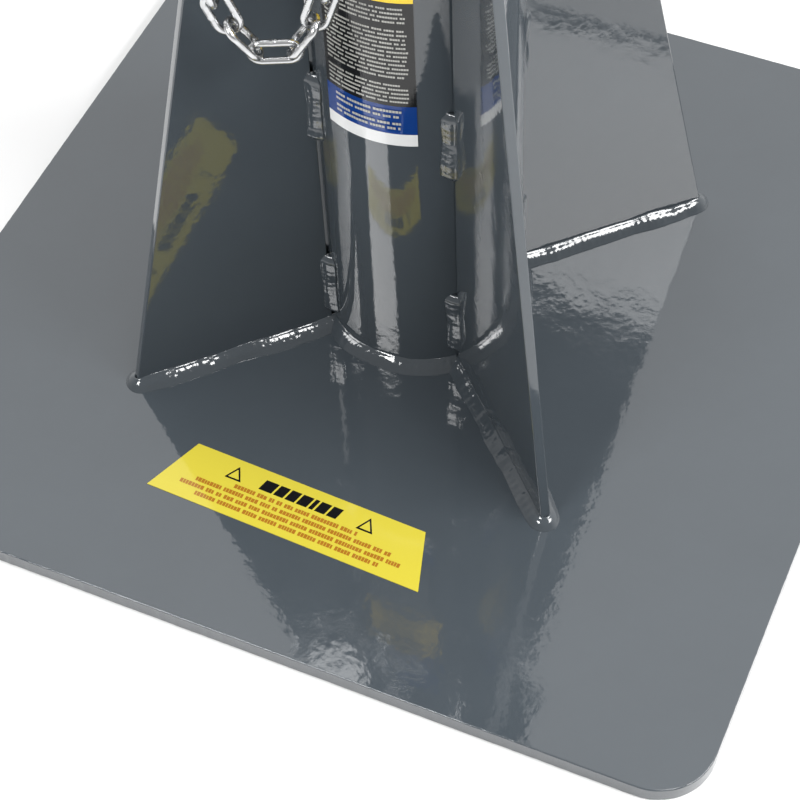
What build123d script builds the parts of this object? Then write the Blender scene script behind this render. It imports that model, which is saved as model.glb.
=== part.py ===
from build123d import *
import os
from math import asin, atan, atan2, cos, degrees, radians, sin, tan

# A pin-type axle stand: a square base plate, a round column held up by four gusset plates, a
# drilled ram with a cradle on its head, and a bent locking pin that is tethered by a chain.
# Millimetres. +Z up, origin on the floor under the column's axis, the labels face -Y.

# ---- base plate ----
PLATE_SIDE = 400.0
PLATE_THICK = 8.0
PLATE_CORNER_R = 25.0

# ---- column and its collar ----
COLUMN_OD = 88.9
COLUMN_WALL = 5.0
COLUMN_TOP = 440.0
COLLAR_WALL = 9.5
COLLAR_HEIGHT = 34.0

# ---- gussets: one towards each corner of the plate ----
GUSSET_NAMES = ("front_left", "front_right", "rear_right", "rear_left")
GUSSET_AZIMUTHS = (-135.0, -45.0, 45.0, 135.0)
GUSSET_THICK = 4.5
GUSSET_FOOT = 139.0          # from the axis to the outer foot
GUSSET_HEAD_WIDTH = 8.5
GUSSET_HEAD_GAP = 4.0        # from the gusset's head up to the collar
GUSSET_FIT_GAP = 1.2         # between the gusset's straight edge and the column

# ---- welds ----
WELD_LEG = 5.0
COLLAR_WELD_LEG = 3.5
STITCH_LENGTH = 38.0
STITCH_PITCH = 111.0
STITCH_START = 10.0          # above the plate
STITCH_ROOT = 1.0            # its section starts this far inside the column, then is cut back

# ---- ram ----
RAM_CLEARANCE = 1.4          # between the ram and the column's bore
RAM_WALL = 8.0
RAM_FLOOR_GAP = 12.0         # between the ram's foot and the plate
RAM_HEAD_RISE = 65.0         # the ram's top above the column's top
RAM_HOLE_PITCH = 50.0
RAM_HOLE_COUNT = 7
RAM_HOLE_CLEARANCE = 2.0     # on the pin's diameter

# ---- locking pin: a bar bent down into a handle ----
PIN_OD = 22.0
PIN_SINK = 8.0               # the pin's axis below the collar's rim
PIN_NOTCH_CLEARANCE = 0.4    # between the pin and its notches
PIN_TAIL = 10.0              # how far its free end stands out of the collar
PIN_SHOULDER = 6.0           # from the collar to the start of the bend
PIN_BEND_R = 34.0
PIN_HANDLE_DROP = 80.0       # from the pin's axis down to the handle's end
PIN_CHAMFER = 2.5

# ---- cradle on the ram's head ----
HEAD_DISC_RIM = 14.0         # how far the disc stands out beyond the ram
HEAD_DISC_THICK = 12.0
CRADLE_THICK = 10.0
CRADLE_DEPTH = 70.0
CRADLE_FLAT = 44.0
CRADLE_WING = 50.0
CRADLE_WING_ANGLE = 40.0
CRADLE_BEND_R = 5.0
CRADLE_TIP_R = 2.5
RIB_THICK = 8.0
RIB_EDGE_GAP = 3.0           # from the rib's outer edge to the disc's rim

# ---- chain ----
CHAIN_WIRE = 3.0
CHAIN_INNER_LENGTH = 16.0
CHAIN_INNER_WIDTH = 6.0
CHAIN_PLAY = 0.9             # slack between two links that hang in each other
CHAIN_LOWEST_TUCK = 0.9      # the lowest link is bent round sharply, so its neighbours reach
CHAIN_LOWEST_DROP = 1.0      # this much further in, and it hangs this much lower
CHAIN_SIDE_LINKS = 11        # on each side of the lowest link
CHAIN_EYE_WIRE = 4.0
CHAIN_EYE_R = 7.0
CHAIN_EYE_DROP = 60.0        # from the pin's axis down to both of the chain's ends
CHAIN_EYE_PLAY = 0.4
PIN_EYE_ROOM = 1.0           # left over in the pin's eye beside the chain's wire
COLUMN_EYE_ROOM = 2.5        # left over in the column's eye beside the chain's wire
COLUMN_EYE_AZIMUTH = -83.0
EYE_LEG = 16.0

# ---- labels ----
LABEL_THICK = 0.3
BASE_LABEL_TOP = 110.0
BASE_LABEL_BOTTOM = 130.0
BASE_LABEL_DEPTH = 28.0
BASE_LABEL_X = -2.6
BASE_LABEL_GAP = 89.5        # from the column's wall to the label's middle
BASE_LABEL_TURN = -2.5
COLUMN_LABEL_WIDTH = 40.0    # measured round the column
COLUMN_LABEL_FOOT = 142.5    # above the plate
COLUMN_LABEL_HEIGHT = 150.0
COLUMN_LABEL_AZIMUTH = -91.5

# ---- sizes that follow ----
COLUMN_R = COLUMN_OD / 2
COLLAR_R = COLUMN_R + COLLAR_WALL
COLLAR_FOOT = COLUMN_TOP - COLLAR_HEIGHT
GUSSET_HEAD = COLLAR_FOOT - GUSSET_HEAD_GAP
GUSSET_INNER = COLUMN_R + GUSSET_FIT_GAP
PIN_R = PIN_OD / 2
PIN_Z = COLUMN_TOP - PIN_SINK
PIN_AZIMUTH = GUSSET_AZIMUTHS[0]
PIN_REACH = COLLAR_R + PIN_SHOULDER + PIN_BEND_R
RAM_FOOT = PLATE_THICK + RAM_FLOOR_GAP
RAM_TOP = COLUMN_TOP + RAM_HEAD_RISE
RAM_R = COLUMN_R - COLUMN_WALL - RAM_CLEARANCE
HEAD_DISC_R = RAM_R + HEAD_DISC_RIM
CRADLE_FOOT = RAM_TOP + HEAD_DISC_THICK
COLUMN_LABEL_Z = PLATE_THICK + COLUMN_LABEL_FOOT
CHAIN_EYE_HEIGHT = PIN_Z - CHAIN_EYE_DROP
CHAIN_EYE_DEPTH = CHAIN_EYE_WIRE + CHAIN_WIRE
PIN_EYE_REACH = PIN_R + CHAIN_EYE_DEPTH + PIN_EYE_ROOM    # from the handle's axis
COLUMN_EYE_REACH = CHAIN_EYE_DEPTH + COLUMN_EYE_ROOM      # from the column's wall

# ---- helpers' settings ----
CUT = 2 * PLATE_SIDE         # longer than anything that a tool body has to cut
NEAR = 1.0                   # how close to a place an edge is picked
SLOPE_RATIOS = (0.01, 100.0) # where the chain's slope ratio is looked for
SLOPE_HALVINGS = 60


def round_bar(path, diameter):
    """A round bar along a path."""
    section = Plane(path @ 0, z_dir=path % 0) * Circle(diameter / 2)
    return sweep(section, path=path)


def tube(outer_r, wall, low, high):
    """An upright tube between two heights."""
    ring = Circle(outer_r) - Circle(outer_r - wall)
    return Pos(0, 0, low) * extrude(ring, high - low)


def upright_rod(radius, low, high):
    """A solid upright cylinder on the axis."""
    return Pos(0, 0, low) * extrude(Circle(radius), high - low)


def side_profile(points, thickness):
    """A plate that stands in the XZ plane, with its middle at Y = 0."""
    face = Plane.XZ * make_face(Polyline(*points, close=True))
    return extrude(face, thickness / 2, both=True)


def weld_ring(radius, leg, low, upward=True):
    """A fillet weld round the outside of a cylinder, above or below the height it sits on."""
    tip = low + leg if upward else low - leg
    corner = [(radius, 0, low), (radius + leg, 0, low), (radius, 0, tip)]
    return revolve(make_face(Polyline(*corner, close=True)), Axis.Z)


# ---------------------------------------------------------------- base and column

def base_plate():
    outline = RectangleRounded(PLATE_SIDE, PLATE_SIDE, PLATE_CORNER_R)
    return extrude(outline, PLATE_THICK)


def pin_notch():
    """The space that the pin drops into: round below, open above."""
    radius = PIN_R + PIN_NOTCH_CLEARANCE
    half_round = Pos(0, 0, PIN_Z) * Rot(0, 90, 0) * Cylinder(radius, CUT)
    opening = Pos(0, 0, PIN_Z + CUT / 2) * Box(CUT, 2 * radius, CUT)
    return Rot(0, 0, PIN_AZIMUTH) * (half_round + opening)


def column_tube():
    return tube(COLUMN_R, COLUMN_WALL, PLATE_THICK, COLUMN_TOP) - pin_notch()


def column_collar():
    return tube(COLLAR_R, COLLAR_WALL, COLLAR_FOOT, COLUMN_TOP) - pin_notch()


def collar_weld():
    return weld_ring(COLUMN_R, COLLAR_WELD_LEG, COLLAR_FOOT, upward=False)


def gusset():
    """The plate for azimuth 0: upright by the column, slanted outside."""
    head_r = GUSSET_INNER + GUSSET_HEAD_WIDTH
    points = [(GUSSET_INNER, PLATE_THICK), (GUSSET_FOOT, PLATE_THICK),
              (head_r, GUSSET_HEAD), (GUSSET_INNER, GUSSET_HEAD)]
    return side_profile(points, GUSSET_THICK)


def gusset_foot_weld():
    """The weld along both sides of a gusset's foot and round its nose."""
    half = GUSSET_THICK / 2
    length = GUSSET_FOOT - COLUMN_R + COLUMN_WALL
    section = [(0, half, 0), (0, half + WELD_LEG, 0), (0, half, WELD_LEG)]
    run = extrude(make_face(Polyline(*section, close=True)), length, dir=(1, 0, 0))
    run = Pos(GUSSET_FOOT - length, 0, PLATE_THICK) * run
    cone = Pos(GUSSET_FOOT, 0, PLATE_THICK + WELD_LEG / 2) * Cone(half + WELD_LEG, half, WELD_LEG)
    beyond = Pos(GUSSET_FOOT + CUT / 2, 0, 0) * Box(CUT, CUT, CUT)
    nose = cone & beyond
    solid = run + mirror(run, Plane.XZ) + nose
    return solid - upright_rod(COLUMN_R, 0, COLUMN_TOP)


def stitch_welds():
    """Short welds up both sides of a gusset, where it meets the column."""
    half = GUSSET_THICK / 2
    root = COLUMN_R - STITCH_ROOT
    corner = [(COLUMN_R + WELD_LEG, half), (root, half), (root, half + WELD_LEG)]
    bead = extrude(make_face(Polyline(*corner, close=True)), STITCH_LENGTH)
    bead = bead - upright_rod(COLUMN_R, -NEAR, STITCH_LENGTH + NEAR)
    pair = [bead, mirror(bead, Plane.XZ)]
    room = GUSSET_HEAD - PLATE_THICK - STITCH_START - STITCH_LENGTH
    rows = int(room / STITCH_PITCH) + 1
    heights = [PLATE_THICK + STITCH_START + i * STITCH_PITCH for i in range(rows)]
    return [Pos(0, 0, z) * side for z in heights for side in pair]


def column_foot_weld():
    """The weld round the column's foot, in four arcs between the gussets' welds."""
    ring = weld_ring(COLUMN_R, WELD_LEG, PLATE_THICK)
    width = GUSSET_THICK + 2 * WELD_LEG
    for azimuth in GUSSET_AZIMUTHS:
        ring = ring - Rot(0, 0, azimuth) * Pos(CUT / 2, 0, 0) * Box(CUT, width, CUT)
    return ring


def base_label():
    """A thin trapezium of vinyl on the plate, in front of the column."""
    top, bottom, half_depth = BASE_LABEL_TOP / 2, BASE_LABEL_BOTTOM / 2, BASE_LABEL_DEPTH / 2
    outline = [(-top, half_depth), (top, half_depth), (bottom, -half_depth), (-bottom, -half_depth)]
    sheet = extrude(make_face(Polyline(*outline, close=True)), LABEL_THICK)
    place = Pos(BASE_LABEL_X, -COLUMN_R - BASE_LABEL_GAP, PLATE_THICK)
    return place * Rot(0, 0, BASE_LABEL_TURN) * sheet


def column_label():
    """A thin wrap of vinyl on the column's front."""
    half_turn = degrees(COLUMN_LABEL_WIDTH / 2 / COLUMN_R)
    foot = COLUMN_LABEL_Z
    wall = [(COLUMN_R, 0, foot), (COLUMN_R + LABEL_THICK, 0, foot),
            (COLUMN_R + LABEL_THICK, 0, foot + COLUMN_LABEL_HEIGHT),
            (COLUMN_R, 0, foot + COLUMN_LABEL_HEIGHT)]
    sheet = revolve(make_face(Polyline(*wall, close=True)), Axis.Z, 2 * half_turn)
    return Rot(0, 0, COLUMN_LABEL_AZIMUTH - half_turn) * sheet


# ---------------------------------------------------------------- ram and cradle

def ram_tube():
    body = tube(RAM_R, RAM_WALL, RAM_FOOT, RAM_TOP)
    hole = Rot(0, 0, PIN_AZIMUTH) * Rot(0, 90, 0) * Cylinder((PIN_OD + RAM_HOLE_CLEARANCE) / 2, CUT)
    for i in range(RAM_HOLE_COUNT):
        body = body - Pos(0, 0, PIN_Z - i * RAM_HOLE_PITCH) * hole
    return body


def head_disc():
    return Pos(0, 0, RAM_TOP) * extrude(Circle(HEAD_DISC_R), HEAD_DISC_THICK)


def head_weld():
    return weld_ring(RAM_R, WELD_LEG, RAM_TOP, upward=False)


def cradle_corners():
    """The cradle's right half: inner bend, wing's inner tip, wing's outer tip, outer bend."""
    slope = radians(CRADLE_WING_ANGLE)
    inner_bend = (CRADLE_FLAT / 2, CRADLE_THICK)
    inner_tip = (inner_bend[0] + CRADLE_WING * cos(slope), CRADLE_THICK + CRADLE_WING * sin(slope))
    outer_tip = (inner_tip[0] + CRADLE_THICK * sin(slope), inner_tip[1] - CRADLE_THICK * cos(slope))
    outer_bend = (inner_bend[0] + CRADLE_THICK * tan(slope / 2), 0.0)
    return inner_bend, inner_tip, outer_tip, outer_bend


def cradle():
    """A plate bent up into two wings, which an axle lies between."""
    right = cradle_corners()
    left = [(-x, z) for x, z in reversed(right)]
    outline = Plane.XZ * make_face(Polyline(*right, *left, close=True))
    body = Pos(0, 0, CRADLE_FOOT) * extrude(outline, CRADLE_DEPTH / 2, both=True)
    bends = [e for e in body.edges().filter_by(Axis.Y) if abs(e.center().X) < right[3][0] + NEAR]
    body = fillet(bends, CRADLE_BEND_R)
    tips = [e for e in body.edges().filter_by(Axis.Y) if abs(e.center().X) > right[1][0] - NEAR]
    return fillet(tips, CRADLE_TIP_R)


def cradle_rib(side):
    """A triangular rib that backs up one wing; side is 1 or -1."""
    bend_x = cradle_corners()[3][0]
    edge_x = HEAD_DISC_R - RIB_EDGE_GAP
    rise = (edge_x - bend_x) * tan(radians(CRADLE_WING_ANGLE))
    points = [(side * bend_x, CRADLE_FOOT), (side * edge_x, CRADLE_FOOT),
              (side * edge_x, CRADLE_FOOT + rise)]
    return side_profile(points, RIB_THICK)


# ---------------------------------------------------------------- locking pin

def locking_pin():
    tail = -(COLLAR_R + PIN_TAIL)
    route = [(tail, 0, PIN_Z), (PIN_REACH, 0, PIN_Z), (PIN_REACH, 0, PIN_Z - PIN_HANDLE_DROP)]
    bar = round_bar(FilletPolyline(*route, radius=PIN_BEND_R), PIN_OD)
    ends = [e for e in bar.edges().filter_by(GeomType.CIRCLE)
            if e.center().X < tail + NEAR or e.center().Z < PIN_Z - PIN_HANDLE_DROP + NEAR]
    return Rot(0, 0, PIN_AZIMUTH) * chamfer(ends, PIN_CHAMFER)


def on_pin_axis(reach):
    """A point in plan on the pin's line, that far from the column's axis."""
    angle = radians(PIN_AZIMUTH)
    return Vector(reach * cos(angle), reach * sin(angle), CHAIN_EYE_HEIGHT)


# ---------------------------------------------------------------- chain

def chain_ends():
    """Where the chain hangs: on the column's eye and on the pin's, and the way both eyes face."""
    reach = COLUMN_R + COLUMN_EYE_REACH
    angle = radians(COLUMN_EYE_AZIMUTH)
    column_end = Vector(reach * cos(angle), reach * sin(angle), CHAIN_EYE_HEIGHT)
    handle = on_pin_axis(PIN_REACH)
    # The pin's eye stands off the handle at a right angle to the line between the two eyes.
    span = handle - column_end
    turn = asin(PIN_EYE_REACH / span.length)
    along = span.rotate(Axis.Z, degrees(turn)).normalized()
    facing = Vector(-along.Y, along.X, 0)
    pin_end = handle + facing * PIN_EYE_REACH
    return column_end, pin_end, facing


def chain_eye(end, facing):
    """A bent staple of round bar, with its outermost wire at the chain's end."""
    ring = [Line((-EYE_LEG, -CHAIN_EYE_R), (0, -CHAIN_EYE_R)),
            ThreePointArc((0, -CHAIN_EYE_R), (CHAIN_EYE_R, 0), (0, CHAIN_EYE_R)),
            Line((0, CHAIN_EYE_R), (-EYE_LEG, CHAIN_EYE_R))]
    staple = round_bar(Wire(ring), CHAIN_EYE_WIRE)
    turn = degrees(atan2(facing.Y, facing.X))
    return Pos(end - facing * CHAIN_EYE_R) * Rot(0, 0, turn) * staple


def column_chain_eye():
    end, _, facing = chain_ends()
    return chain_eye(end, facing) - upright_rod(COLUMN_R, 0, COLUMN_TOP)


def pin_chain_eye():
    _, end, facing = chain_ends()
    handle = on_pin_axis(PIN_REACH)
    bar = Pos(handle.X, handle.Y, 0) * upright_rod(PIN_R, 0, COLUMN_TOP)
    return chain_eye(end, facing) - bar


def chain_link():
    """One link, lying in XY with its length along X."""
    middle_width = CHAIN_INNER_WIDTH + CHAIN_WIRE
    straight = CHAIN_INNER_LENGTH + CHAIN_WIRE - middle_width
    return round_bar(SlotCenterToCenter(straight, middle_width).wire(), CHAIN_WIRE)


def link_slopes(half_span, spacing):
    """The slopes of the hanging links on one side, which just fill half the span between the ends.

    In a hanging chain the slope of a link grows evenly with its count from the lowest one."""
    low, high = SLOPE_RATIOS
    for _ in range(SLOPE_HALVINGS):
        ratio = (low + high) / 2
        slopes = [atan(ratio * k) for k in range(1, CHAIN_SIDE_LINKS + 1)]
        reach = spacing / 2 - CHAIN_LOWEST_TUCK + sum(spacing * cos(a) for a in slopes)
        low, high = (ratio, high) if reach > half_span else (low, ratio)
    return slopes


def chain_links():
    """All links: the column's side from its top down, the lowest link, and the pin's side."""
    column_end, pin_end, facing = chain_ends()
    spacing = CHAIN_INNER_LENGTH - CHAIN_PLAY
    # The end link's middle hangs nearer to its eye than to the next link's joint.
    end_drop = (CHAIN_INNER_LENGTH - CHAIN_EYE_WIRE) / 2 - CHAIN_EYE_PLAY
    lift = spacing / 2 - end_drop
    span = (pin_end - column_end)
    across = span.normalized()
    slopes = link_slopes(span.length / 2, spacing)
    sides = []
    for start, inward in ((column_end, across), (pin_end, across * -1)):
        joint = start
        links = []
        for count, slope in enumerate(reversed(slopes)):
            step = inward * cos(slope) - Vector(0, 0, sin(slope))
            first = joint - step * (lift if count == 0 else 0)
            middle = first + step * (spacing / 2)
            normal = step.cross(facing) if count % 2 == 0 else facing
            links.append(Plane(middle, x_dir=step, z_dir=normal) * chain_link())
            joint = first + step * spacing
        sides.append((links, joint))
    (column_side, left), (pin_side, right) = sides
    middle = (left + right) * 0.5 - Vector(0, 0, CHAIN_LOWEST_DROP)
    lowest = Plane(middle, x_dir=across, z_dir=facing) * chain_link()
    return column_side + [lowest], pin_side


# ---------------------------------------------------------------- the whole stand

def parts():
    """Every node by name, as one solid or a list of like solids."""
    column_chain, pin_chain = chain_links()
    nodes = {
        "base_plate": base_plate(),
        "column_tube": column_tube(),
        "column_collar": column_collar(),
        "collar_weld": collar_weld(),
        "column_foot_weld": column_foot_weld(),
        "base_label": base_label(),
        "column_label": column_label(),
        "column_chain_eye": column_chain_eye(),
        "ram_tube": ram_tube(),
        "head_disc": head_disc(),
        "head_weld": head_weld(),
        "cradle": cradle(),
        "cradle_rib_left": cradle_rib(-1),
        "cradle_rib_right": cradle_rib(1),
        "locking_pin": locking_pin(),
        "pin_chain_eye": pin_chain_eye(),
        "chain_column_side": column_chain,
        "chain_pin_side": pin_chain,
    }
    for name, azimuth in zip(GUSSET_NAMES, GUSSET_AZIMUTHS):
        place = Rot(0, 0, azimuth)
        nodes["gusset_" + name] = place * gusset()
        nodes["foot_weld_" + name] = place * gusset_foot_weld()
        nodes["stitch_welds_" + name] = [place * bead for bead in stitch_welds()]
    return nodes


def main():
    os.makedirs("parts", exist_ok=True)
    for name, shape in parts().items():
        pieces = shape if isinstance(shape, list) else [shape]
        solids = [solid for piece in pieces for solid in piece.solids()]
        whole = solids[0] if len(solids) == 1 else Compound(children=solids)
        export_step(whole, os.path.join("parts", name + ".step"))
        print(name, len(solids), round(sum(solid.volume for solid in solids)))


main()
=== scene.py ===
"""The finished surfaces of a pin-type axle stand, laid out as an add-on and run as a script."""
import math
import random

import bmesh
import bpy
import numpy as np
from mathutils import Matrix, Vector


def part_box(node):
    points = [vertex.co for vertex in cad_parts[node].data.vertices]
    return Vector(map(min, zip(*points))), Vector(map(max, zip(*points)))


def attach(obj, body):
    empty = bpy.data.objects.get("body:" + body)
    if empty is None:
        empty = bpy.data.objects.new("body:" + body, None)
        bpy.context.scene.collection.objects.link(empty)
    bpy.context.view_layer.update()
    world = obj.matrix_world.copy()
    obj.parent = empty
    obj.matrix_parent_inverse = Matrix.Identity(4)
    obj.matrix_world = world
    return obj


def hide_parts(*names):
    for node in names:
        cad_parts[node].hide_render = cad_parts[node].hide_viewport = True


bl_info = {
    "name": "Axle Stand Finish",
    "version": (1, 0, 0),
    "blender": (4, 5, 0),
    "location": "View3D > Sidebar > Stand",
    "description": "Builds the painted, welded and plated surfaces of an axle stand",
    "category": "Object",
}

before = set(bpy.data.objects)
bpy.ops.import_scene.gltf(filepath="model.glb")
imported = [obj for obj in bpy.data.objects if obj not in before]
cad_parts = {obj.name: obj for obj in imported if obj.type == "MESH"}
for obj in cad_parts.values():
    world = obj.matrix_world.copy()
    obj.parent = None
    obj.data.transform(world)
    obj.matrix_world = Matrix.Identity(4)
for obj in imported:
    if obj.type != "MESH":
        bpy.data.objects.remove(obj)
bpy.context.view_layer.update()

MM = 0.001

PLATE_LOW, PLATE_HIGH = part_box("base_plate")
PLATE_TOP = PLATE_HIGH.z
COLUMN_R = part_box("column_tube")[1].x
GUSSETS = {"front_left": -135.0, "front_right": -45.0, "rear_right": 45.0, "rear_left": 135.0}


# CAD vertices closer than this are one, and faces that turn less than this are one flat.
MERGE_DISTANCE = 0.002 * MM
FLAT_ANGLE = math.radians(0.3)

UP = Vector((0, 0, 1))


# ---------------------------------------------------------------- settings

class StandSettings(bpy.types.PropertyGroup):
    """Sizes and colours that a user would change."""

    edge_radius: bpy.props.FloatProperty(
        name="Edge radius", description="Rounding of sheared and cut steel edges",
        default=0.6 * MM, min=0.0, unit="LENGTH")
    plate_corner: bpy.props.FloatProperty(
        name="Plate corner", description="Radius of the base plate's corners in plan",
        default=25.0 * MM, min=0.0, unit="LENGTH")
    cut_scallop: bpy.props.FloatProperty(
        name="Cut scallop", description="Depth of the drag lines on the plate's flame-cut edge",
        default=0.22 * MM, min=0.0, unit="LENGTH")
    weld_leg: bpy.props.FloatProperty(
        name="Weld leg", description="Leg length of the fillet welds",
        default=5.0 * MM, min=0.001, unit="LENGTH")
    weld_ripple: bpy.props.FloatProperty(
        name="Weld ripple", description="Distance between two ripples of a weld bead",
        default=3.4 * MM, min=0.0005, unit="LENGTH")
    peel_size: bpy.props.FloatProperty(
        name="Orange peel", description="Distance between two bumps of the enamel's orange peel",
        default=3.8 * MM, min=0.0005, unit="LENGTH")
    enamel: bpy.props.StringProperty(
        name="Enamel", description="Slate enamel, sRGB hex", default="#393F44")
    label_ground: bpy.props.StringProperty(
        name="Label yellow", description="Ground colour of the plate's label, sRGB hex",
        default="#B9AC38")
    label_blue: bpy.props.StringProperty(
        name="Label blue", description="Band on the column's label, sRGB hex", default="#023276")
    chain_zinc: bpy.props.StringProperty(
        name="Chain zinc", description="Clear zinc plating on the chain, sRGB hex",
        default="#D9DADB")


def settings():
    return bpy.context.scene.stand_settings


# ---------------------------------------------------------------- colours and nodes

def to_linear(code):
    """An sRGB hex code as a linear colour with alpha."""
    channels = [int(code[i:i + 2], 16) / 255 for i in (1, 3, 5)]
    return [c / 12.92 if c <= 0.04045 else ((c + 0.055) / 1.055) ** 2.4 for c in channels] + [1.0]


def add_node(tree, kind, values=None, links=None):
    """Adds a node, sets its properties and sockets, and links its inputs from other sockets."""
    made = tree.nodes.new(kind)
    for key, value in (values or {}).items():
        if isinstance(key, str) and key in made.bl_rna.properties:
            setattr(made, key, value)
        else:
            made.inputs[key].default_value = value
    for key, source in (links or {}).items():
        tree.links.new(source, made.inputs[key])
    return made


def new_material(name):
    """An empty node material, made afresh."""
    old = bpy.data.materials.get(name)
    if old:
        bpy.data.materials.remove(old)
    made = bpy.data.materials.new(name)
    made.use_nodes = True
    made.node_tree.nodes.clear()
    return made, made.node_tree


def finish_material(tree, shader):
    """Links the shader to the material's output."""
    add_node(tree, "ShaderNodeOutputMaterial", links={"Surface": shader.outputs[0]})


def pattern_scale(size):
    """The noise scale, per metre, whose features are about that far apart."""
    return 1.0 / size


FLAT_COAT = 0.75
UPRIGHT_COAT = 0.6
WELD_COAT = 0.35


def gloss_enamel(name, coat=FLAT_COAT):
    """Air-dried alkyd enamel, sprayed over steel: a deep gloss film whose orange peel bends
    every mirrored edge, with a faint long wave from the rolled sheet under it. The film is
    thinner on upright faces, which it runs down while wet, so they mirror a little less."""
    made, tree = new_material(name)
    place = add_node(tree, "ShaderNodeTexCoord")
    fine = add_node(tree, "ShaderNodeTexNoise",
                    {"Scale": pattern_scale(settings().peel_size), "Detail": 2.0,
                     "Roughness": 0.45},
                    {"Vector": place.outputs["Object"]})
    long_wave = add_node(tree, "ShaderNodeTexNoise",
                         {"Scale": pattern_scale(22 * MM), "Detail": 1.0},
                         {"Vector": place.outputs["Object"]})
    dust = add_node(tree, "ShaderNodeTexNoise",
                    {"Scale": pattern_scale(60 * MM), "Detail": 6.0, "Roughness": 0.7},
                    {"Vector": place.outputs["Object"]})
    sheen = add_node(tree, "ShaderNodeMapRange",
                     {"From Min": 0.35, "From Max": 0.7, "To Min": 0.035, "To Max": 0.085},
                     {"Value": dust.outputs["Fac"]})
    wave = add_node(tree, "ShaderNodeBump", {"Strength": 1.0, "Distance": 0.11 * MM},
                    {"Height": long_wave.outputs["Fac"]})
    bump = add_node(tree, "ShaderNodeBump", {"Strength": 1.0, "Distance": 0.036 * MM},
                    {"Height": fine.outputs["Fac"], "Normal": wave.outputs["Normal"]})
    paint = to_linear(settings().enamel)
    faded = [min(1.0, c * 1.25) for c in paint[:3]] + [1.0]
    colour = add_node(tree, "ShaderNodeMix", {"data_type": "RGBA", 6: paint, 7: faded},
                      {0: dust.outputs["Fac"]})
    shader = add_node(tree, "ShaderNodeBsdfPrincipled",
                      {"IOR": 1.5, "Coat Weight": coat, "Coat IOR": 1.5, "Coat Roughness": 0.045},
                      {"Base Color": colour.outputs[2], "Roughness": sheen.outputs["Result"],
                       "Normal": bump.outputs["Normal"], "Coat Normal": bump.outputs["Normal"]})
    finish_material(tree, shader)
    return made


def weld_enamel():
    """The same enamel run over weld beads: it pools in the ripples, so the film is smoother and
    glossier there and the spatter under it shows as small round bumps."""
    made, tree = new_material("enamel_over_weld")
    place = add_node(tree, "ShaderNodeTexCoord")
    spatter = add_node(tree, "ShaderNodeTexVoronoi",
                       {"feature": "SMOOTH_F1", "Scale": pattern_scale(1.4 * MM)},
                       {"Vector": place.outputs["Object"]})
    crust = add_node(tree, "ShaderNodeTexNoise",
                     {"Scale": pattern_scale(1.1 * MM), "Detail": 3.0},
                     {"Vector": place.outputs["Object"]})
    rough = add_node(tree, "ShaderNodeBump", {"Strength": 0.8, "Distance": 0.05 * MM},
                     {"Height": crust.outputs["Fac"]})
    bump = add_node(tree, "ShaderNodeBump",
                    {"Strength": 0.5, "Distance": 0.07 * MM, "invert": True},
                    {"Height": spatter.outputs["Distance"], "Normal": rough.outputs["Normal"]})
    sheen = add_node(tree, "ShaderNodeMapRange",
                     {"From Min": 0.3, "From Max": 0.7, "To Min": 0.04, "To Max": 0.11},
                     {"Value": crust.outputs["Fac"]})
    shader = add_node(tree, "ShaderNodeBsdfPrincipled",
                      {"Base Color": to_linear(settings().enamel), "IOR": 1.5,
                       "Coat Weight": WELD_COAT, "Coat IOR": 1.5, "Coat Roughness": 0.05},
                      {"Roughness": sheen.outputs["Result"], "Normal": bump.outputs["Normal"],
                       "Coat Normal": bump.outputs["Normal"]})
    finish_material(tree, shader)
    return made


def zinc_plate(name, code, grain, rough):
    """Clear-passivated zinc over drawn steel: a bright bluish metal with soft, slightly cloudy
    reflections, dulled in small patches by handling."""
    made, tree = new_material(name)
    place = add_node(tree, "ShaderNodeTexCoord")
    cloud = add_node(tree, "ShaderNodeTexNoise",
                     {"Scale": pattern_scale(grain * 4), "Detail": 4.0, "Roughness": 0.6},
                     {"Vector": place.outputs["Object"]})
    pits = add_node(tree, "ShaderNodeTexNoise",
                    {"Scale": pattern_scale(grain), "Detail": 2.0},
                    {"Vector": place.outputs["Object"]})
    bright = to_linear(code)
    dull = [c * 0.62 for c in bright[:3]] + [1.0]
    colour = add_node(tree, "ShaderNodeMix", {"data_type": "RGBA", 6: bright, 7: dull},
                      {0: cloud.outputs["Fac"]})
    sheen = add_node(tree, "ShaderNodeMapRange",
                     {"From Min": 0.3, "From Max": 0.7,
                      "To Min": rough * 0.75, "To Max": rough * 1.5},
                     {"Value": cloud.outputs["Fac"]})
    bump = add_node(tree, "ShaderNodeBump", {"Strength": 0.6, "Distance": 0.03 * MM},
                    {"Height": pits.outputs["Fac"]})
    shader = add_node(tree, "ShaderNodeBsdfPrincipled", {"Metallic": 1.0},
                      {"Base Color": colour.outputs[2], "Roughness": sheen.outputs["Result"],
                       "Normal": bump.outputs["Normal"]})
    finish_material(tree, shader)
    return made


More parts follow.
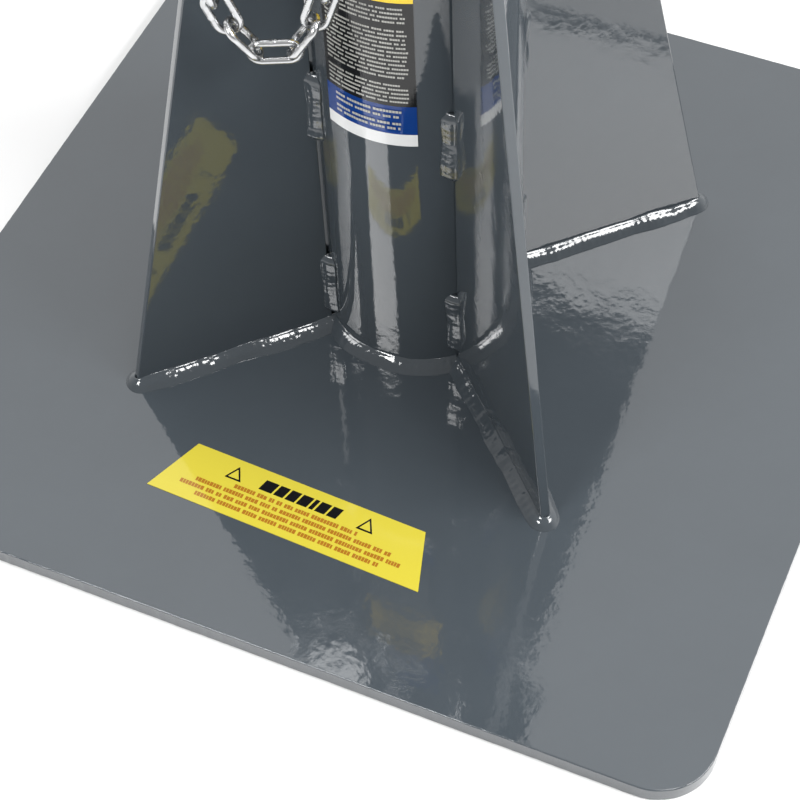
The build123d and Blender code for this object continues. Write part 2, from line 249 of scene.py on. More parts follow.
def label_vinyl(name, code):
    """Screen-printed vinyl film: flat even colour under a clear gloss laminate that follows the
    paint's texture, with the film's own faint stipple."""
    made, tree = new_material(name)
    place = add_node(tree, "ShaderNodeTexCoord")
    stipple = add_node(tree, "ShaderNodeTexNoise",
                       {"Scale": pattern_scale(1.2 * MM), "Detail": 2.0},
                       {"Vector": place.outputs["Object"]})
    ink = to_linear(code)
    thin = [min(1.0, c * 1.03 + 0.001) for c in ink[:3]] + [1.0]
    colour = add_node(tree, "ShaderNodeMix", {"data_type": "RGBA", 6: ink, 7: thin},
                      {0: stipple.outputs["Fac"]})
    bump = add_node(tree, "ShaderNodeBump", {"Strength": 0.5, "Distance": 0.01 * MM},
                    {"Height": stipple.outputs["Fac"]})
    sheen = add_node(tree, "ShaderNodeMapRange",
                     {"From Min": 0.3, "From Max": 0.7, "To Min": 0.056, "To Max": 0.084},
                     {"Value": stipple.outputs["Fac"]})
    shader = add_node(tree, "ShaderNodeBsdfPrincipled", {"IOR": 1.48},
                      {"Base Color": colour.outputs[2], "Roughness": sheen.outputs["Result"],
                       "Normal": bump.outputs["Normal"]})
    finish_material(tree, shader)
    return made


# ---------------------------------------------------------------- meshes

def add_piece(name, verts, faces, material, body, slot, nodes=(), smooth=True):
    """A closed mesh as a piece that rides on a CAD body and stands for CAD nodes."""
    mesh = bpy.data.meshes.new(name)
    mesh.from_pydata([tuple(v) for v in verts], [], faces)
    tidy = bmesh.new()
    tidy.from_mesh(mesh)
    bmesh.ops.recalc_face_normals(tidy, faces=tidy.faces)
    tidy.to_mesh(mesh)
    tidy.free()
    return place_piece(name, mesh, material, body, slot, nodes, smooth)


def place_piece(name, mesh, material, body, slot, nodes=(), smooth=True):
    old = bpy.data.objects.get(name)
    if old:
        bpy.data.objects.remove(old)
    for polygon in mesh.polygons:
        polygon.use_smooth = smooth
    mesh.materials.clear()
    mesh.materials.append(material)
    piece = bpy.data.objects.new(name, mesh)
    bpy.context.scene.collection.objects.link(piece)
    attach(piece, body)
    if nodes:
        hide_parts(*nodes)
    return piece


def merged_copy(node):
    """A bmesh of a CAD node's shape, whose faces share their corners."""
    shape = bmesh.new()
    shape.from_mesh(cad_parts[node].data)
    bmesh.ops.remove_doubles(shape, verts=shape.verts, dist=MERGE_DISTANCE)
    return shape


def soft_edged(node, material, body, slot, width=None, limit=35.0):
    """A CAD node's shape with its sharp edges rounded, as a piece that stands for the node."""
    mesh = bpy.data.meshes.new(node + "_mesh")
    shape = merged_copy(node)
    bmesh.ops.dissolve_limit(shape, angle_limit=FLAT_ANGLE, verts=shape.verts, edges=shape.edges)
    bmesh.ops.recalc_face_normals(shape, faces=shape.faces)
    shape.to_mesh(mesh)
    shape.free()
    piece = place_piece(node + "_finish", mesh, material, body, slot, [node])
    bevel = piece.modifiers.new("edge", "BEVEL")
    bevel.limit_method = "ANGLE"
    bevel.angle_limit = math.radians(limit)
    bevel.width = settings().edge_radius if width is None else width
    bevel.segments = 3
    normals = piece.modifiers.new("flats", "WEIGHTED_NORMAL")
    normals.weight = 100
    return piece


def rounded_square(half, radius, step):
    """Points and outward directions round a square with rounded corners, evenly spaced."""
    points = []
    straight = 2 * (half - radius)
    count = max(2, int(straight / step))
    for side in range(4):
        turn = Matrix.Rotation(math.radians(90 * side), 3, "Z")
        for i in range(count):
            along = -half + radius + straight * i / count
            points.append((turn @ Vector((half, along, 0)), turn @ Vector((1, 0, 0))))
        arc = max(4, int(radius * math.pi / 2 / step))
        for i in range(arc):
            angle = math.pi / 2 * i / arc
            out = Vector((math.cos(angle), math.sin(angle), 0))
            centre = Vector((half - radius, half - radius, 0))
            points.append((turn @ (centre + out * radius), turn @ out))
    return points


def smooth_noise(seed, count, spacing):
    """Smooth random values from -1 to 1, with a new one every so many samples."""
    source = random.Random(seed)
    knots = [source.uniform(-1, 1) for _ in range(int(count / spacing) + 3)]
    values = []
    for i in range(count):
        at = i / spacing
        k = int(at)
        t = at - k
        t = t * t * (3 - 2 * t)
        values.append(knots[k] * (1 - t) + knots[k + 1] * t)
    return values


# ---------------------------------------------------------------- base plate, column, gussets

OUTLINE_STEP = 1.0 * MM
DRAG_SPACING = 2.4        # outline steps between two drag lines of the cut
CUT_WANDER_SPACING = 30   # outline steps between two slow turns of the cut


def plate_mesh():
    """The plate's outline stacked in rings: rounded edges, and drag lines down the cut sides."""
    s = settings()
    half = PLATE_HIGH.x
    radius = s.edge_radius
    outline = rounded_square(half, s.plate_corner, OUTLINE_STEP)
    count = len(outline)
    drag = smooth_noise(3, count, DRAG_SPACING)
    slow = smooth_noise(4, count, CUT_WANDER_SPACING)
    rings = []
    rounding = [(radius * (1 - math.sin(a)), radius * (1 - math.cos(a)))
                for a in (math.radians(d) for d in (0, 30, 60, 90))]
    for inset, height in rounding:
        rings.append((inset, PLATE_LOW.z + height))
    for inset, height in reversed(rounding):
        rings.append((inset, PLATE_HIGH.z - height))
    verts, faces = [], []
    for inset, z in rings:
        for i, (point, out) in enumerate(outline):
            scallop = s.cut_scallop * (0.5 + 0.3 * drag[i] + 0.2 * slow[i])
            verts.append(point - out * (inset + scallop) + UP * z)
    for ring in range(len(rings) - 1):
        for i in range(count):
            j = (i + 1) % count
            a, b = ring * count, (ring + 1) * count
            faces.append((a + i, a + j, b + j, b + i))
    faces.append(tuple(range(count)))
    top = (len(rings) - 1) * count
    faces.append(tuple(top + i for i in range(count)))
    return verts, faces


class STAND_OT_base_plate(bpy.types.Operator):
    """Base plate with rounded, flame-cut edges"""
    bl_idname = "stand.base_plate"
    bl_label = "Base plate"

    def execute(self, context):
        verts, faces = plate_mesh()
        piece = add_piece("base_plate_finish", verts, faces, gloss_enamel("enamel_plate"), "stand",
                          "enamel", ["base_plate"])
        normals = piece.modifiers.new("flats", "WEIGHTED_NORMAL")
        normals.keep_sharp = False
        return {"FINISHED"}


class STAND_OT_column(bpy.types.Operator):
    """Column tube, its collar and the four gussets"""
    bl_idname = "stand.column"
    bl_label = "Column and gussets"

    def execute(self, context):
        enamel = gloss_enamel("enamel_column", coat=UPRIGHT_COAT)
        soft_edged("column_tube", enamel, "stand", "enamel")
        soft_edged("column_collar", enamel, "stand", "enamel", width=1.2 * MM)
        sheet = gloss_enamel("enamel_gusset", coat=UPRIGHT_COAT)
        for name in GUSSETS:
            soft_edged("gusset_" + name, sheet, "stand", "enamel")
        return {"FINISHED"}


# ---------------------------------------------------------------- welds

BEAD_STEP = 0.5 * MM
BEAD_ARC = 14             # faces across a bead
BEAD_SINK = 0.25          # mm by which its root goes into the corner
FACE_START = -4           # its face starts and ends this many degrees inside the two walls
FACE_TURN = 98
# How many stations apart a bead's width, lumps and tilt change.
WIDTH_SPACING = 26
LUMP_SPACING = 9
TILT_SPACING = 30
# How much they change it, as parts of its leg.
WIDTH_WANDER = 0.08
LUMP_HEIGHT = 0.045
BEAD_LEAN = 0.12
RIPPLE_HEIGHT = 0.009
RIPPLE_CURL = 1.6         # a ripple's middle runs ahead of its ends by this angle
TOE_SPREAD = 0.16         # how far a bead's edges wet out over the plate
TOE_WIDTH = 0.07
BEAD_ROOT = 1.0 * MM      # how far a foot weld starts inside the column's wall
NOSE_STEPS = 26           # stations round a gusset's nose
STITCH_SIZE = 0.86        # a stitch's leg, as a part of the other welds' leg
COLLAR_WELD_LEG = 3.5 * MM
QUARTER_START = 2.4 * MM  # from a gusset's middle to where the column's foot weld starts


def bead(stations, leg, seed, roughness=1.0, swell=None, crown_height=0.18):
    """A weld bead as a closed mesh. Each station is (corner, along one face, along the other).

    The crown height is how far its middle stands above a flat fillet, as a part of its leg."""
    s = settings()
    count = len(stations)
    width = smooth_noise(seed, count, WIDTH_SPACING)
    lump = smooth_noise(seed + 1, count, LUMP_SPACING)
    tilt = smooth_noise(seed + 2, count, TILT_SPACING)
    verts, faces = [], []
    run = 0.0
    for i, (corner, u, v) in enumerate(stations):
        if i:
            run += (corner - stations[i - 1][0]).length
        scale = 1.0 + roughness * (WIDTH_WANDER * width[i] + LUMP_HEIGHT * lump[i])
        if swell:
            scale *= swell(i / (count - 1))
        verts.append(corner - (u + v) * BEAD_SINK * MM)
        for k in range(BEAD_ARC + 1):
            t = k / BEAD_ARC
            angle = math.radians(FACE_START + FACE_TURN * t)
            flat = 1.0 / (abs(math.cos(angle)) + abs(math.sin(angle)))
            toe = TOE_SPREAD * (math.exp(-(t / TOE_WIDTH) ** 2)
                                + math.exp(-((1 - t) / TOE_WIDTH) ** 2))
            crown = 1.0 + crown_height * math.sin(math.pi * t) + toe
            curl = RIPPLE_CURL * math.sin(math.pi * t)
            phase = 2 * math.pi * run / s.weld_ripple + curl + tilt[i]
            ripple = 1.0 + roughness * RIPPLE_HEIGHT * math.sin(math.pi * t) * math.sin(phase)
            lean = 1.0 + BEAD_LEAN * roughness * tilt[i] * (2 * t - 1)
            reach = leg * flat * crown * ripple * scale * lean
            verts.append(corner + u * (math.cos(angle) * reach) + v * (math.sin(angle) * reach))
    row = BEAD_ARC + 2
    for i in range(count - 1):
        for k in range(row):
            n = (k + 1) % row
            faces.append((i * row + k, i * row + n, (i + 1) * row + n, (i + 1) * row + k))
    faces.append(tuple(range(row)))
    faces.append(tuple((count - 1) * row + k for k in range(row)))
    return verts, faces


def join_meshes(meshes):
    """Several (verts, faces) as one."""
    verts, faces = [], []
    for more_verts, more_faces in meshes:
        start = len(verts)
        verts.extend(more_verts)
        faces.extend(tuple(start + i for i in face) for face in more_faces)
    return verts, faces


def gusset_frame(name):
    """A gusset's outward and sideways directions, its half thickness and how far its foot
    reaches from the axis."""
    angle = math.radians(GUSSETS[name])
    out = Vector((math.cos(angle), math.sin(angle), 0))
    side = Vector((-out.y, out.x, 0))
    points = [v.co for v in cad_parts["gusset_" + name].data.vertices]
    half = max(abs(p.dot(side)) for p in points)
    foot = max(p.dot(out) for p in points)
    return out, side, half, foot


def foot_weld_stations(name):
    """Down one side of a gusset's foot, round its nose, and back up the other side."""
    out, side, half, foot = gusset_frame(name)
    floor = UP * PLATE_TOP
    start = COLUMN_R - BEAD_ROOT
    straight = foot - half - start
    count = int(straight / BEAD_STEP)
    stations = []
    for i in range(count):
        at = start + straight * i / count
        stations.append((out * at + side * half + floor, side, UP))
    for i in range(NOSE_STEPS + 1):
        angle = math.pi * i / NOSE_STEPS
        round_out = side * math.cos(angle) + out * math.sin(angle)
        stations.append((out * (foot - half) + round_out * half + floor, round_out, UP))
    for i in range(count):
        at = foot - half - straight * (i + 1) / count
        stations.append((out * at - side * half + floor, -side, UP))
    return stations


def nose_swell(t):
    """Slimmer round the nose, which is in the middle of the run."""
    return 1.0 - 0.22 * math.exp(-((t - 0.5) / 0.05) ** 2)


def stitch_stations(name, low, side_sign, length):
    """Up the corner between a gusset's face and the column."""
    out, side, half, _ = gusset_frame(name)
    lateral = side * side_sign
    reach = math.sqrt(COLUMN_R ** 2 - half ** 2)
    wall = (lateral * reach - out * half).normalized()
    count = int(length / BEAD_STEP)
    corner = out * reach + lateral * half
    return [(corner + UP * (low + length * i / count), out, wall) for i in range(count + 1)]


def round_ends(t):
    """Tapers a short bead at both of its ends."""
    edge = min(t, 1 - t) / 0.09
    return 0.45 + 0.55 * math.sin(min(1.0, edge) * math.pi / 2) + 0.05 * math.sin(9 * t)


def ring_stations(radius, z, first, last, up_sign=1):
    """Round a cylinder, from one azimuth to another in degrees."""
    count = int(math.radians(last - first) * radius / BEAD_STEP)
    stations = []
    for i in range(count + 1):
        angle = math.radians(first + (last - first) * i / count)
        out = Vector((math.cos(angle), math.sin(angle), 0))
        stations.append((out * radius + UP * z, out, UP * up_sign))
    return stations


def loose_boxes(node):
    """The lowest and highest z of each separate solid of a CAD node, lowest first."""
    shape = merged_copy(node)
    found = []
    for island in islands(shape):
        heights = [v.co.z for v in island]
        found.append((min(heights), max(heights)))
    shape.free()
    return sorted(set((round(a, 5), round(b, 5)) for a, b in found))


def islands(shape):
    """The connected groups of a bmesh's vertices."""
    left = set(shape.verts)
    groups = []
    while left:
        group, front = [], [min(left, key=lambda v: v.index)]
        left.discard(front[0])
        while front:
            v = front.pop()
            group.append(v)
            for edge in v.link_edges:
                other = edge.other_vert(v)
                if other in left:
                    left.discard(other)
                    front.append(other)
        groups.append(group)
    return groups


class STAND_OT_welds(bpy.types.Operator):
    """Rippled weld beads: gusset feet, stitches, column foot, collar and head"""
    bl_idname = "stand.welds"
    bl_label = "Welds"

    def execute(self, context):
        s = settings()
        enamel = weld_enamel()
        for number, name in enumerate(GUSSETS):
            run = bead(foot_weld_stations(name), s.weld_leg, 20 + number, swell=nose_swell)
            add_piece("foot_bead_" + name, *run, enamel, "stand", "weld_enamel",
                      ["foot_weld_" + name])
            stitches = []
            for row, (low, high) in enumerate(loose_boxes("stitch_welds_" + name)):
                for sign in (-1, 1):
                    seed = 100 + 40 * number + 4 * row + sign
                    stations = stitch_stations(name, low, sign, high - low)
                    leg = s.weld_leg * STITCH_SIZE
                    stitches.append(bead(stations, leg, seed, 0.8, round_ends, 0.14))
            add_piece("stitch_beads_" + name, *join_meshes(stitches), enamel, "stand",
                      "weld_enamel", ["stitch_welds_" + name])
        quarter = []
        lean = math.degrees(QUARTER_START / COLUMN_R)
        for number, azimuth in enumerate(GUSSETS.values()):
            stations = ring_stations(COLUMN_R, PLATE_TOP, azimuth + lean, azimuth + 90 - lean)
            quarter.append(bead(stations, s.weld_leg, 60 + number))
        add_piece("column_foot_bead", *join_meshes(quarter), enamel, "stand", "weld_enamel",
                  ["column_foot_weld"])
        collar_low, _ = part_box("column_collar")
        under = bead(ring_stations(COLUMN_R, collar_low.z, 0, 360, -1), COLLAR_WELD_LEG, 70)
        add_piece("collar_bead", *under, enamel, "stand", "weld_enamel", ["collar_weld"])
        _, weld_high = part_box("head_weld")
        _, ram_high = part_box("ram_tube")
        head = bead(ring_stations(ram_high.x, weld_high.z, 0, 360, -1), s.weld_leg, 80)
        add_piece("head_bead", *head, enamel, "ram", "weld_enamel", ["head_weld"])
        return {"FINISHED"}


# ---------------------------------------------------------------- ram, pin, eyes

class STAND_OT_ram(bpy.types.Operator):
    """Drilled ram, head disc, cradle and ribs"""
    bl_idname = "stand.ram"
    bl_label = "Ram and cradle"

    def execute(self, context):
        enamel = gloss_enamel("enamel_ram", coat=UPRIGHT_COAT)
        soft_edged("ram_tube", enamel, "ram", "enamel", width=0.4 * MM)
        for node in ("head_disc", "cradle", "cradle_rib_left", "cradle_rib_right"):
            soft_edged(node, enamel, "ram", "enamel", width=0.9 * MM)
        return {"FINISHED"}


class STAND_OT_pin(bpy.types.Operator):
    """Bent locking pin and the two chain eyes"""
    bl_idname = "stand.pin"
    bl_label = "Locking pin"

    def execute(self, context):
        bar = zinc_plate("zinc_plated_bar", "#C4C6C8", 1.2 * MM, 0.24)
        soft_edged("locking_pin", bar, "locking_pin", "zinc_bar", width=0.4 * MM, limit=40)
        soft_edged("pin_chain_eye", bar, "locking_pin", "zinc_bar", width=0.1 * MM, limit=60)
        soft_edged("column_chain_eye", gloss_enamel("enamel_eye"), "stand", "enamel",
                   width=0.1 * MM, limit=60)
        return {"FINISHED"}


# ---------------------------------------------------------------- chain

LINK_STEPS = 84           # sections round a link
WIRE_SIDES = 14
LINK_SEED = 300
WELD_WANDER = 0.8 * MM    # how far a link's weld may be from its side's middle
WELD_BULGE = 0.7 * MM
WELD_LINE = 0.25 * MM


def link_mesh(length, width, wire, centre, axes, seed):
    """One chain link bent from wire, with the bulge of its butt weld on one straight side."""
    along, across, normal = axes
    r = wire / 2
    bend = width / 2 - r
    straight = length - width
    total = 2 * straight + 2 * math.pi * bend
    weld_at = straight / 2 + random.Random(seed).uniform(-1, 1) * WELD_WANDER
    verts, faces = [], []
    for i in range(LINK_STEPS):
        s = total * i / LINK_STEPS
        if s < straight:
            point, out = (s - straight / 2, bend), (0.0, 1.0)
        elif s < straight + math.pi * bend:
            a = (s - straight) / bend
            out = (math.sin(a), math.cos(a))
            point = (straight / 2 + bend * out[0], bend * out[1])
        elif s < 2 * straight + math.pi * bend:
            point, out = (straight / 2 - (s - straight - math.pi * bend), -bend), (0.0, -1.0)
        else:
            a = (s - 2 * straight - math.pi * bend) / bend
            out = (-math.sin(a), -math.cos(a))
            point = (-straight / 2 + bend * out[0], bend * out[1])
        bulge = 1.0 + 0.10 * math.exp(-((s - weld_at) / WELD_BULGE) ** 2)
        notch = 1.0 - 0.05 * math.exp(-((s - weld_at) / WELD_LINE) ** 2)
        radius = r * bulge * notch
        middle = centre + along * point[0] + across * point[1]
        outward = along * out[0] + across * out[1]
        for k in range(WIRE_SIDES):
            a = 2 * math.pi * k / WIRE_SIDES
            verts.append(middle + outward * (radius * math.cos(a))
                         + normal * (radius * math.sin(a)))
    for i in range(LINK_STEPS):
        this, following = i * WIRE_SIDES, (i + 1) % LINK_STEPS * WIRE_SIDES
        for k in range(WIRE_SIDES):
            n = (k + 1) % WIRE_SIDES
            faces.append((this + k, this + n, following + n, following + k))
    return verts, faces


def link_places(node):
    """Each link of a chain node: its size, its centre and its three axes, found from its shape."""
    shape = merged_copy(node)
    places = []
    for island in islands(shape):
        points = np.array([v.co for v in island])
        middle = (points.min(0) + points.max(0)) / 2
        _, _, axes = np.linalg.svd(points - points.mean(0), full_matrices=False)
        spans = (points - middle) @ axes.T
        low, high = spans.min(0), spans.max(0)
        centre = middle + axes.T @ ((low + high) / 2)
        size = high - low
        along, across, _ = (Vector(a) for a in axes)
        if along.z < 0:
            along = -along
        places.append((size, Vector(centre), (along, across, along.cross(across))))
    shape.free()
    return sorted(places, key=lambda place: -place[1].z)


class STAND_OT_chain(bpy.types.Operator):
    """Straight-link chain between the column's eye and the pin"""
    bl_idname = "stand.chain"
    bl_label = "Chain"

    def execute(self, context):
        zinc = zinc_plate("zinc_plated_chain", settings().chain_zinc, 0.8 * MM, 0.20)
        for node in ("chain_column_side", "chain_pin_side"):
            links = [link_mesh(*size, centre, axes, LINK_SEED + i)
                     for i, (size, centre, axes) in enumerate(link_places(node))]
            add_piece(node + "_links", *join_meshes(links), zinc, node, "zinc_chain", [node])
        return {"FINISHED"}


# ---------------------------------------------------------------- labels

# The labels' own sizes are in millimetres, which their place functions take.
FILM = 0.3
INK = 0.03
COLUMN_LABEL_HALF = 20.0
BEND_STEP = 1.0


def prism(outline, low, high, place):
    """A thin closed prism over a flat outline; place maps (x, y, z) to the row frame."""
    count = len(outline)
    verts = [place(x, y, z) for z in (low, high) for x, y in outline]
    faces = [tuple(range(count)), tuple(count + i for i in range(count))]
    for i in range(count):
        j = (i + 1) % count
        faces.append((i, j, count + j, count + i))
    return verts, faces


def bar(x0, x1, y0, y1, slant=0.0, parts=1):
    """The outline of a bar, with its long sides divided into that many parts."""
    lower = [(x0 + (x1 - x0) * i / parts, y0) for i in range(parts + 1)]
    upper = [(x + slant, y1) for x, _ in reversed(lower)]
    return lower + upper


def bent_bar(x0, x1, y0, y1):
    """A bar's outline with enough points to bend round the column."""
    return bar(x0, x1, y0, y1, parts=max(1, int((x1 - x0) / BEND_STEP)))


def greeked_line(source, x0, x1, y, height, cell):
    """Short blocks in word-like groups that stand for a line of print."""
    blocks = []
    x = x0
    while x < x1 - cell:
        for _ in range(source.randint(2, 9)):
            wide = cell * source.uniform(0.6, 0.95)
            if x + wide > x1:
                break
            blocks.append((x, x + wide, y, y + height * source.choice((1.0, 1.0, 0.92))))
            x += wide + cell * 0.16
        x += cell * 0.7
    return blocks


def triangle_ring(x, y, size, thick):
    """The outline of a plain triangle's frame, as three bars."""
    corners = [(x, y), (x + size, y), (x + size / 2, y + size * 0.9)]
    middle = (x + size / 2, y + size * 0.32)
    inner = [(px + (middle[0] - px) * thick, py + (middle[1] - py) * thick) for px, py in corners]
    return [[corners[i], corners[(i + 1) % 3], inner[(i + 1) % 3], inner[i]] for i in range(3)]


def base_label_place():
    """Maps the label's own millimetres, from its middle, to the row frame."""
    points = [v.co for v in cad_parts["base_label"].data.vertices]
    left = min(points, key=lambda p: p.x)
    right = max(points, key=lambda p: p.x)
    across = Vector((right.x - left.x, right.y - left.y, 0)).normalized()
    up = Vector((-across.y, across.x, 0))
    reach = [p.dot(up) for p in points]
    spread = [p.dot(across) for p in points]
    middle = across * (min(spread) + max(spread)) / 2 + up * (min(reach) + max(reach)) / 2
    top = max(p.z for p in points)

    def place(x, y, z):
        return middle + across * (x * MM) + up * (y * MM) + UP * (top + z * MM)
    return place


def column_label_place():
    """Maps millimetres round the column and up from the label's foot to the row frame."""
    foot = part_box("column_label")[0].z
    points = [v.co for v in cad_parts["column_label"].data.vertices]
    radius = max(math.hypot(p.x, p.y) for p in points)
    angles = [math.atan2(p.y, p.x) for p in points]
    middle = (min(angles) + max(angles)) / 2

    def place(x, y, z):
        reach = radius + z * MM
        angle = middle + x * MM / radius
        return Vector((reach * math.cos(angle), reach * math.sin(angle), foot + y * MM))
    return place


def printed(outlines, place):
    """Raised ink in those outlines, as one mesh."""
    return join_meshes([prism(outline, 0.0, INK, place) for outline in outlines])


class STAND_OT_labels(bpy.types.Operator):
    """Vinyl labels with generic marks and no lettering"""
    bl_idname = "stand.labels"
    bl_label = "Labels"

    def execute(self, context):
        s = settings()
        yellow = label_vinyl("vinyl_yellow", s.label_ground)
        black = label_vinyl("ink_black", "#0C0C0E")
        red = label_vinyl("ink_oxide_red", "#94601A")
        white = label_vinyl("ink_white", "#D9DADA")
        blue = label_vinyl("ink_blue", s.label_blue)
        header = label_vinyl("ink_yellow", "#EECC2C")
        film = label_vinyl("vinyl_black", "#0B0B0C")

        place = base_label_place()
        outline = [(-55, 14), (-65, -14), (65, -14), (55, 14)]
        sheet = prism(outline, -FILM, 0.0, place)
        add_piece("base_label_film", *sheet, yellow, "stand", "label_yellow", ["base_label"],
                  smooth=False)
        marks = []
        x = -20.0
        for wide in (6.2, 4.6, 4.6, 5.0, 2.0, 4.8, 4.6):
            marks.append(bar(x, x + wide, 3.8, 9.4, 1.4))
            x += wide + 0.9
        marks += triangle_ring(-36.5, 3.4, 8.0, 0.34) + triangle_ring(27.0, 3.4, 8.0, 0.34)
        add_piece("base_label_heading", *printed(marks, place), black, "stand", "label_yellow",
                  smooth=False)
        source = random.Random(7)
        lines = [(-0.2, 30.0), (-3.6, 47.0), (-7.0, 53.0), (-10.4, 44.0)]
        blocks = [b for y, half in lines for b in greeked_line(source, -half, half, y, 2.1, 1.5)]
        lines = printed([bar(*block) for block in blocks], place)
        add_piece("base_label_lines", *lines, red, "stand", "label_yellow", smooth=False)

        place = column_label_place()
        half = COLUMN_LABEL_HALF
        foot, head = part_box("column_label")
        bands = [("column_label_foot", white, 0.0, 6.5),
                 ("column_label_band", blue, 6.5, 22.0),
                 ("column_label_field", film, 22.0, 76.0),
                 ("column_label_header", header, 76.0, 112.0),
                 ("column_label_top", blue, 112.0, (head.z - foot.z) / MM)]
        for name, ink, low, high in bands:
            strip = prism(bent_bar(-half, half, low, high), -FILM, 0.0, place)
            nodes = ["column_label"] if low == 0.0 else []
            add_piece(name, *strip, ink, "stand", "label_black", nodes, smooth=False)
        blocks = []
        for line in range(23):
            if line in (5, 18):      # a gap between two paragraphs
                continue
            indent = source.uniform(0, 4) if line in (4, 17) else 0
            blocks += greeked_line(source, -half + 2.0, half - 2.5 - indent, 24.0 + 2.2 * line,
                                   0.95, 1.05)
        for y in (18.2, 15.4, 11.6, 9.0):
            blocks += greeked_line(source, -half + 5.0, half - 6.0, y, 1.3, 1.3)
        fine = printed([bent_bar(*block) for block in blocks], place)
        grey = label_vinyl("ink_pale_grey", "#A9A9A4")
        add_piece("column_label_lines", *fine, grey, "stand", "label_black", smooth=False)
        dark = printed([bent_bar(-15, 15, 98, 106), bent_bar(-12, 12, 90, 94),
                        bent_bar(-14, 14, 80, 81.5), bent_bar(-14, 14, 83.2, 84.7)], place)
        add_piece("column_label_marks", *dark, black, "stand", "label_black", smooth=False)
        pale = printed([bent_bar(-14, 14, 124, 134), bent_bar(-10, 10, 117, 120)], place)
        add_piece("column_label_crest", *pale, white, "stand", "label_black", smooth=False)
        return {"FINISHED"}


# ---------------------------------------------------------------- stage

FLOOR_SIDE = 60.0
FLOOR_DROP = 0.2 * MM     # the floor lies this far under the plate, so that the two don't fight
DIM_FRONT = 0.45          # the tent's strength towards the viewer
BRIGHT_BACK = 1.42        # and behind the stand
# Azimuth and elevation in degrees, distance, width and height in metres, and radiance.
SOFTBOXES = {
    "key": (-22.0, 45.5, 1.7, 0.54, 0.33, 27.0),
    "side": (90.0, 46.0, 1.7, 1.05, 0.33, 21.0),
    "top": (60.0, 70.0, 1.7, 0.30, 0.30, 24.0),
}
CAMERA_AZIMUTH = math.radians(26.09)
CAMERA_ELEVATION = math.radians(53.16)
CAMERA_ROLL = math.radians(-3.07)
CAMERA_DISTANCE = 0.9787
CAMERA_LENS = 99.65
CAMERA_AIM = Vector((0.01484, -0.06232, 0.0))


def seen_from(azimuth, elevation):
    """The direction from the object to a viewer or a light."""
    return Vector((math.sin(azimuth) * math.cos(elevation),
                   -math.cos(azimuth) * math.cos(elevation), math.sin(elevation)))


def studio_floor():
    """Matt white background paper: an even, near white ground with a grain too fine to show."""
    made, tree = new_material("paper_sweep")
    place = add_node(tree, "ShaderNodeTexCoord")
    grain = add_node(tree, "ShaderNodeTexNoise", {"Scale": pattern_scale(3 * MM)},
                     {"Vector": place.outputs["Object"]})
    bump = add_node(tree, "ShaderNodeBump", {"Strength": 0.1, "Distance": 0.02 * MM},
                    {"Height": grain.outputs["Fac"]})
    shader = add_node(tree, "ShaderNodeBsdfPrincipled",
                      {"Base Color": to_linear("#E0E0E0"), "Roughness": 0.9},
                      {"Normal": bump.outputs["Normal"]})
    finish_material(tree, shader)
    return made


def add_softbox(name, azimuth, elevation, distance, width, height, radiance):
    """A rectangular area light that looks at the object from that direction."""
    data = bpy.data.lights.new(name, "AREA")
    data.shape = "RECTANGLE"
    data.size = width
    data.size_y = height
    data.energy = radiance * math.pi * width * height
    lamp = bpy.data.objects.new(name, data)
    way = seen_from(math.radians(azimuth), math.radians(elevation))
    lamp.location = UP * PLATE_TOP + way * distance
    lamp.rotation_euler = way.to_track_quat("Z", "Y").to_euler()
    bpy.context.scene.collection.objects.link(lamp)


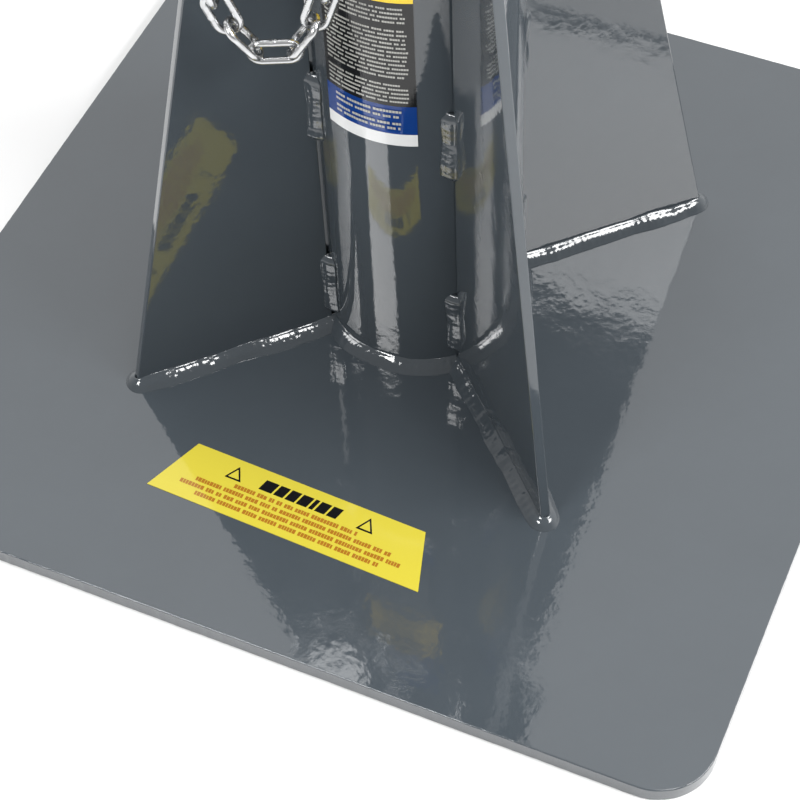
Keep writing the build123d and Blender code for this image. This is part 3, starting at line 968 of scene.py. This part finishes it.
class STAND_OT_stage(bpy.types.Operator):
    """Floor, soft light and camera"""
    bl_idname = "stand.stage"
    bl_label = "Stage"

    def execute(self, context):
        scene = context.scene
        half = FLOOR_SIDE / 2
        floor_mesh = bpy.data.meshes.new("floor")
        corners = [(-half, -half, 0), (half, -half, 0), (half, half, 0), (-half, half, 0)]
        floor_mesh.from_pydata(corners, [], [(0, 1, 2, 3)])
        floor_mesh.materials.append(studio_floor())
        floor = bpy.data.objects.new("floor", floor_mesh)
        floor.location.z = PLATE_LOW.z - FLOOR_DROP
        scene.collection.objects.link(floor)

        world = bpy.data.worlds.new("tent")
        world.use_nodes = True
        tree = world.node_tree
        place = add_node(tree, "ShaderNodeTexCoord")
        axes = add_node(tree, "ShaderNodeSeparateXYZ",
                        links={"Vector": place.outputs["Generated"]})
        depth = add_node(tree, "ShaderNodeMapRange",
                         {"From Min": -0.35, "From Max": 0.35,
                          "To Min": DIM_FRONT, "To Max": BRIGHT_BACK},
                         {"Value": axes.outputs["Y"]})
        tree.links.new(depth.outputs["Result"], tree.nodes["Background"].inputs["Strength"])
        tree.nodes["Background"].inputs["Color"].default_value = to_linear("#FFFFFF")
        scene.world = world
        for name, box in SOFTBOXES.items():
            add_softbox(name, *box)

        data = bpy.data.cameras.new("camera")
        data.lens = CAMERA_LENS
        data.sensor_width = 36.0
        data.clip_start = 0.05
        camera = bpy.data.objects.new("camera", data)
        back = seen_from(CAMERA_AZIMUTH, CAMERA_ELEVATION)
        across = UP.cross(back).normalized()
        up = back.cross(across)
        turned = across * math.cos(CAMERA_ROLL) + up * math.sin(CAMERA_ROLL)
        upright = up * math.cos(CAMERA_ROLL) - across * math.sin(CAMERA_ROLL)
        place = Matrix((turned, upright, back)).transposed().to_4x4()
        place.translation = CAMERA_AIM + UP * PLATE_TOP + back * CAMERA_DISTANCE
        camera.matrix_world = place
        scene.collection.objects.link(camera)
        scene.camera = camera
        scene.view_settings.view_transform = "Standard"
        return {"FINISHED"}


# ---------------------------------------------------------------- panel and run

OPERATORS = (STAND_OT_stage, STAND_OT_base_plate, STAND_OT_column, STAND_OT_welds, STAND_OT_ram,
             STAND_OT_pin, STAND_OT_chain, STAND_OT_labels)


class STAND_PT_panel(bpy.types.Panel):
    """Lists the stand's pieces and its sizes and colours."""
    bl_idname = "STAND_PT_panel"
    bl_label = "Axle stand"
    bl_space_type = "VIEW_3D"
    bl_region_type = "UI"
    bl_category = "Stand"

    def draw(self, context):
        for name in StandSettings.__annotations__:
            self.layout.prop(context.scene.stand_settings, name)
        for operator in OPERATORS:
            self.layout.operator(operator.bl_idname)


CLASSES = (StandSettings, *OPERATORS, STAND_PT_panel)


def register():
    for item in CLASSES:
        bpy.utils.register_class(item)
    bpy.types.Scene.stand_settings = bpy.props.PointerProperty(type=StandSettings)


def unregister():
    del bpy.types.Scene.stand_settings
    for item in reversed(CLASSES):
        bpy.utils.unregister_class(item)


def main():
    register()
    for operator in OPERATORS:
        group, name = operator.bl_idname.split(".")
        getattr(getattr(bpy.ops, group), name)()


if __name__ == "__main__":
    main()
